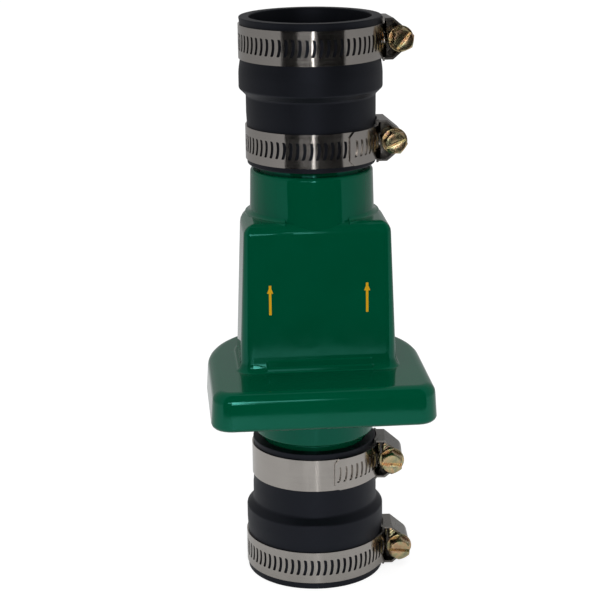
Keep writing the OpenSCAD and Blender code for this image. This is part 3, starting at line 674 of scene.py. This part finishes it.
def coupling(name, mouth, wide_clamp, narrow_clamp):
    """Coupling with its wide mouth at z = 0, pressed in under its two bands."""
    w0, w1 = band_heights(wide_clamp, mouth)
    n0, n1 = band_heights(narrow_clamp, mouth)
    w, n = SQUEEZE[wide_clamp], SQUEEZE[narrow_clamp]
    wide_rim = wide_r - w * (1 - w0 / GROOVE_RAMP)
    narrow_rim = narrow_r - n * (1 - (length - n1) / GROOVE_RAMP)
    section = [[wide_rim, 0], [wide_r - w, w0], [wide_r - w, w1], [wide_r, w1 + GROOVE_RAMP],
               [wide_r, WIDE_LEN], [narrow_r, WIDE_LEN + TAPER_LEN], [narrow_r, n0 - GROOVE_RAMP],
               [narrow_r - n, n0], [narrow_r - n, n1], [narrow_rim, length],
               [SPIGOT_R, length], [SPIGOT_R, PIPE_DEPTH], [PIPE_R, PIPE_DEPTH], [PIPE_R, 0]]
    sleeve = turned(name, section)
    for r, z, size in ((wide_rim, 0, RIM), (narrow_rim, length, RIM), (wide_r, w1 + GROOVE_RAMP, 1.5),
                       (wide_r, WIDE_LEN, 0.5), (narrow_r, WIDE_LEN + TAPER_LEN, 0.7),
                       (PIPE_R, 0, 0.5), (SPIGOT_R, length, 0.4), (SPIGOT_R, PIPE_DEPTH, 0.3)):
        round_ring(sleeve, r, z, size)
    select_only(sleeve)
    bpy.ops.object.shade_smooth_by_angle(angle=math.radians(40))
    modify(sleeve, "WEIGHTED_NORMAL", mode="FACE_AREA", weight=80, keep_sharp=True)
    sleeve.data.materials.append(coupling_epdm)
    return sleeve


mouth_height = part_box("outlet_coupling")[1].z
sleeve = coupling("inlet_coupling_moulded", 0, "inlet_pipe", "inlet_valve")
upper_sleeve = coupling("outlet_coupling_moulded", mouth_height / MM, "outlet_pipe", "outlet_valve")
upper_sleeve.rotation_euler = (math.pi, 0, 0)
upper_sleeve.location = (0, 0, mouth_height)
settle(upper_sleeve)
for piece, node in ((sleeve, "inlet_coupling"), (upper_sleeve, "outlet_coupling")):
    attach(piece, "valve")
    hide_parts(node)
    print(piece.name, "has", len(piece.data.polygons), "faces")

# %% [markdown]
# ## The clamp bands
#
# A band is one long strip. Its fixed end lies under the housing, from there it goes once round the
# rubber, climbs over the housing's saddle, runs out through the housing and lies down on itself.
# So its end section is spun round the axis in stretches, and moved outwards between them.
# The slots that the worm climbs in are rolled slots: bowed like a bracket, with round ends, and a
# little out of upright. One slot is made and copied along the strip, and all are cut out at once.

# %% Sizes of a clamp
BAND_T = 0.65
BAND_W = 13.3
HOUSING_T = 0.8
HOUSING_LEN = 14
SCREW_HEIGHT = 6.9
# For each clamp: radius of the rubber, way round, free end in degrees, angle up to which it is bare
CLAMPS = {"outlet_pipe": (wide_r - SQUEEZE["outlet_pipe"], 1, 54, 0),
          "outlet_valve": (narrow_r - SQUEEZE["outlet_valve"], -1, 61, 0),
          "inlet_valve": (narrow_r - SQUEEZE["inlet_valve"], -1, 71, 360),
          "inlet_pipe": (wide_r - SQUEEZE["inlet_pipe"], 1, 54, 0)}
clamp_z, clamp_turn = {}, {}
for joint in frame["joints"]:
    if joint["name"].endswith("_screw_turn"):
        clamp = joint["name"].replace("_clamp_screw_turn", "")
        clamp_z[clamp] = joint["pos_m"][2] / MM
        clamp_turn[clamp] = math.degrees(math.atan2(joint["axis"][0], -joint["axis"][1]))
print("the clamps are turned by", {c: round(t, 1) for c, t in clamp_turn.items()}, "degrees")

# %% One strip, spun round the rubber
def spin_on(degrees, steps):
    """Spins the selected end section on round Z. Spin itself counts the other way round."""
    bpy.ops.mesh.spin(steps=steps, angle=-math.radians(degrees), center=(0, 0, 0), axis=(0, 0, 1),
                      use_auto_merge=False)


def strip(stretches, way):
    """Strip through stretches of [radius, first angle, last angle]. It starts on the X axis."""
    r, start, angle = stretches[0][0], stretches[0][1], stretches[0][1]
    bpy.ops.mesh.primitive_plane_add(size=1, location=((r + BAND_T / 2) * MM, 0, 0),
                                     rotation=(math.pi / 2, 0, 0))
    piece = bpy.context.object
    piece.scale = (BAND_T * MM, BAND_W * MM, 1)
    settle(piece)
    edit(piece)
    bpy.ops.mesh.select_all(action="SELECT")
    for next_r, first, last in stretches:
        if first > angle:
            spin_on(way * (first - angle), 1)
            out = math.radians(way * (first - start))
            rise = (next_r - r) * MM
            bpy.ops.transform.translate(value=(rise * math.cos(out), rise * math.sin(out), 0))
        spin_on(way * (last - first), math.ceil((last - first) / 2))
        r, angle = next_r, last
    bpy.ops.mesh.select_all(action="SELECT")
    bpy.ops.mesh.normals_make_consistent(inside=False)
    done()
    return piece


# %% Cutter for one slot, and its copies
SLOT_PITCH = 2.68
SLOT_LEN = 6.7
SLOT_WIDE = 1.2
SLOT_BOW = 11  # radius of the bow
SLOT_LEAN = 4.5  # degrees
SLOT_DEEP = 4
CLIP = 2  # leg of the clipped corners at a free end


def slot_cutter():
    """Bowed bar that points along X, its bow towards Y."""
    bar = turned("slot_cutter", [[SLOT_BOW - SLOT_WIDE / 2, 0], [SLOT_BOW + SLOT_WIDE / 2, 0],
                                 [SLOT_BOW + SLOT_WIDE / 2, SLOT_DEEP],
                                 [SLOT_BOW - SLOT_WIDE / 2, SLOT_DEEP]], steps=80)
    bar.rotation_euler = (0, math.pi / 2, 0)
    bar.location = (0, -SLOT_BOW * MM, 0)
    settle(bar)
    cut(bar, block("slot_length", (-1, -2, -SLOT_LEN / 2), (SLOT_DEEP + 1, 2, SLOT_LEN / 2)),
        "INTERSECT")
    at_end = lambda p: abs(p.z) > (SLOT_LEN / 2 - 0.01) * MM
    pick(bar, "EDGE", lambda a, b: at_end(a) and at_end(b) and abs(a.y - b.y) < 0.01 * MM)
    bpy.ops.mesh.bevel(offset=0.42 * SLOT_WIDE * MM, segments=3)
    done()
    bar.location = (0, 0.2 * MM, 0)
    bar.rotation_euler = (-math.radians(SLOT_LEAN), 0, 0)
    settle(bar)
    return bar


def copies_round(tool, places, z):
    """One tool made of copies that stand at [radius, degrees] round Z at the height z."""
    copies = []
    for r, degrees in places:
        select_only(tool)
        bpy.ops.object.duplicate()
        item = bpy.context.object
        item.rotation_euler.z = math.radians(degrees)
        item.location = Vector((r * math.cos(item.rotation_euler.z),
                                r * math.sin(item.rotation_euler.z), z)) * MM
        copies.append(item)
    select_only(*copies)
    if len(copies) > 1:
        bpy.ops.object.join()
    settle(bpy.context.object)
    return bpy.context.object


def angles(first, last, step):
    """Angles from first to last in equal steps."""
    return [first + k * step for k in range(int((last - first) / step) + 1)]


# %% The four bands
slot = slot_cutter()
for clamp, (r, way, free, bare) in CLAMPS.items():
    low = r + BAND_FIT
    laid = r + 2 * BAND_FIT + BAND_T
    high = laid + HOUSING_T + BAND_FIT
    under = math.degrees(math.asin(HOUSING_LEN / 2 / laid)) + 0.5
    rise = under + math.degrees(math.acos(low / high))
    land = under + math.degrees(math.acos(laid / high))
    band = strip([[low, -under / 2, 360 - rise], [high, 360 - under, 360 + under],
                  [laid, 360 + land, 360 + free]], way)
    band.rotation_euler.z = math.radians(clamp_turn[clamp] - way * under / 2)
    band.location.z = clamp_z[clamp] * MM
    settle(band)
    step = math.degrees(SLOT_PITCH / low)
    places = [[laid - BAND_FIT / 2, a] for a in angles(-2 * step, free - 4, step)]
    places += [[low - 0.1, a] for a in angles(max(free, bare) + 4, 360 - under, step)]
    places = [[at_r, clamp_turn[clamp] + way * a] for at_r, a in places]
    cut(band, copies_round(slot, places, clamp_z[clamp]))
    corner = block("corner_clip", (0, -CLIP, -CLIP), (2, CLIP, CLIP))
    corner.scale = (1, math.sqrt(0.5), math.sqrt(0.5))
    corner.rotation_euler = (math.pi / 4, 0, 0)
    settle(corner)
    end = [[laid - BAND_FIT / 2, clamp_turn[clamp] + way * free]]
    for side in (-1, 1):
        cut(band, copies_round(corner, end, clamp_z[clamp] + side * BAND_W / 2))
    bpy.data.objects.remove(corner)
    dress(band, clamp + "_clamp_band", "valve", "band_steel", band_steel, sharp=35)
bpy.data.objects.remove(slot)

# %% [markdown]
# ## The clamp housings
#
# The housings keep the CAD part's shape. In the photograph nothing shines through them from
# behind, so a wall with a hole for the screw is added at the back end, a little above the strip
# that passes below it.

# %% Housings with their back wall
WALL_FROM, WALL_TO = 6.05, 6.75  # mm behind the housing's middle
CORNER = 4.15  # mm above the rubber, where the upright sides end
SIDE_HALF = 7.8
TOP_HALF = 3.2
ABOVE_SCREW = 2.9  # from the screw's axis to the wall's top
STRIP_TOP = 2.25  # mm above the rubber, just over the strip that passes below
HOLE_R = 2.75

for clamp, (r, way, free, bare) in CLAMPS.items():
    over_band = math.sqrt((r + STRIP_TOP) ** 2 - WALL_FROM ** 2) + 0.1
    wall = block("back_wall", (over_band, WALL_FROM, -SIDE_HALF), (r + CORNER, WALL_TO, SIDE_HALF))
    pick(wall, "FACE", lambda n, c: n.x > 0.9)
    bpy.ops.mesh.extrude_region_move(
        TRANSFORM_OT_translate={"value": ((SCREW_HEIGHT + ABOVE_SCREW - CORNER) * MM, 0, 0)})
    bpy.ops.transform.resize(value=(1, 1, TOP_HALF / SIDE_HALF))
    done()
    bpy.ops.mesh.primitive_cylinder_add(vertices=48, radius=HOLE_R * MM, depth=20 * MM,
                                        location=((r + SCREW_HEIGHT) * MM, 0, 0),
                                        rotation=(math.pi / 2, 0, 0))
    cut(wall, bpy.context.object)
    wall.rotation_euler.z = math.radians(clamp_turn[clamp])
    wall.location.z = clamp_z[clamp] * MM
    settle(wall)
    housing = merged_copy(clamp + "_clamp_housing")
    select_only(housing, wall)
    bpy.ops.object.join()
    dress(housing, clamp + "_clamp_housing", "valve", "housing_steel", housing_steel, edge=0.15)

# %% [markdown]
# ## The clamp screws
#
# A screw has a chamfered hexagon head with a driver slot, a round collar under it, a plain neck, a
# worm that meshes with the band's slots, and a tip. It is drawn once, standing on Z with the middle
# of the worm at the origin, and each clamp gets its own copy, turned to its joint's axis.
# The worm's thread is a trapezium that climbs round a core. A Screw modifier draws it.

# %% Blank of the screw
COLLAR_R = 5.2
UNDER_HEAD = 7.2  # mm from the worm's middle to the collar
COLLAR_T = 1.2
HEX_FLATS = 8.4
HEX_H = 4.5
NECK_R = 2.6
TIP = 8.5
SLOT_W = 1.3
SLOT_D = 1.8

top = UNDER_HEAD + COLLAR_T + HEX_H


def hexagon_head():
    """Hexagon whose corners a chamfer has cut back to arcs, with its driver slot."""
    middle = (top + UNDER_HEAD + COLLAR_T) / 2
    bpy.ops.mesh.primitive_cylinder_add(vertices=6, radius=HEX_FLATS / 2 / math.cos(math.pi / 6) * MM,
                                        depth=HEX_H * MM, location=(0, 0, middle * MM))
    head = bpy.context.object
    head.name = "hexagon_head"
    settle(head)
    corner = HEX_FLATS / 2 / math.cos(math.pi / 6)
    blank = turned("chamfered_blank", [[0.01, top - HEX_H - 1], [corner + 0.1, top - HEX_H - 1],
                                       [corner + 0.1, top - 1.3], [HEX_FLATS / 2 - 0.4, top],
                                       [0.01, top]], steps=96)
    modify(head, "BOOLEAN", object=blank, operation="INTERSECT", solver="EXACT")
    bpy.ops.mesh.primitive_cube_add(size=1, location=(0, 0, top * MM))
    cutter = bpy.context.object
    cutter.scale = (20 * MM, SLOT_W * MM, 2 * SLOT_D * MM)
    settle(cutter)
    modify(head, "BOOLEAN", object=cutter, operation="DIFFERENCE", solver="EXACT")
    for tool in (blank, cutter):
        bpy.data.objects.remove(tool)
    return head


head = hexagon_head()
modify(head, "BEVEL", width=0.14 * MM, segments=2, limit_method="ANGLE",
       angle_limit=math.radians(25))
print("head stands from", UNDER_HEAD + COLLAR_T, "to", round(top, 2), "mm")

# %% Collar, neck and tip
stem = turned("screw_stem", [[0.01, -TIP], [NECK_R, -TIP], [NECK_R, UNDER_HEAD],
                             [COLLAR_R, UNDER_HEAD], [COLLAR_R, UNDER_HEAD + COLLAR_T],
                             [0.01, UNDER_HEAD + COLLAR_T]], steps=64)
round_ring(stem, NECK_R, -TIP, 0.6)
round_ring(stem, COLLAR_R, UNDER_HEAD, 0.3)
round_ring(stem, COLLAR_R, UNDER_HEAD + COLLAR_T, 0.45)

# %% Worm thread
PITCH = 2.68  # mm, the distance between two slots of a band
WORM_R = 3.5
THREAD_TURNS = 4

bpy.ops.mesh.primitive_plane_add(size=1, location=((NECK_R + WORM_R) / 2 * MM, 0, 0),
                                 rotation=(math.pi / 2, 0, 0))
thread = bpy.context.object
thread.name = "worm_thread"
thread.scale = ((WORM_R - NECK_R + 0.4) * MM, PITCH * 0.62 * MM, 1)
settle(thread)
pick(thread, "VERT", lambda p: p.x > NECK_R * MM)
bpy.ops.transform.resize(value=(1, 1, 0.45))
done()
lowest = -THREAD_TURNS * PITCH / 2
pick(thread, "VERT", lambda p: True)
bpy.ops.transform.translate(value=(0, 0, lowest * MM))
bpy.ops.mesh.delete(type="ONLY_FACE")
done()
modify(thread, "SCREW", axis="Z", steps=32, screw_offset=PITCH * MM, iterations=THREAD_TURNS,
       use_smooth_shade=True)
edit(thread, "EDGE")
bpy.ops.mesh.select_non_manifold()
bpy.ops.mesh.fill()
bpy.ops.mesh.select_all(action="SELECT")
bpy.ops.mesh.normals_make_consistent(inside=False)
done()
print("thread runs from", round(lowest, 2), "mm over", THREAD_TURNS, "turns")

# %% One screw for each clamp
select_only(stem, head, thread)
bpy.ops.object.join()
pattern = bpy.context.object
bpy.ops.object.shade_smooth_by_angle(angle=math.radians(35))
modify(pattern, "WEIGHTED_NORMAL", mode="FACE_AREA", weight=80, keep_sharp=True)
pattern.data.materials.clear()
pattern.data.materials.append(yellow_zinc)

SLOT_TURNS = {"outlet_pipe": 51, "outlet_valve": 23, "inlet_valve": -2, "inlet_pipe": -5}
for joint in frame["joints"]:
    if not joint["name"].endswith("_screw_turn"):
        continue
    node = joint["child"]
    clamp = node.replace("_clamp_screw", "")
    axis = Vector(joint["axis"])
    # Z becomes the screw's axis and the slot starts level, seen from the head
    side = Vector((0, 0, 1)).cross(axis).normalized()
    stand = Matrix((side, axis.cross(side), axis)).transposed()
    stand = stand @ Matrix.Rotation(math.radians(SLOT_TURNS[clamp]), 3, "Z")
    select_only(pattern)
    bpy.ops.object.duplicate()
    screw = bpy.context.object
    screw.name = node + "_finished"
    screw.matrix_world = Matrix.Translation(joint["pos_m"]) @ stand.to_4x4()
    settle(screw)
    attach(screw, joint["child"])
    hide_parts(node)
    print(screw.name, "has", len(screw.data.polygons), "faces")
bpy.data.objects.remove(pattern)

# %% [markdown]
# ## The colour view
#
# The render uses Blender's Standard view transform. The dressed valve has to stay
# inside the CAD box.

# %% Standard view transform
bpy.context.scene.view_settings.view_transform = "Standard"
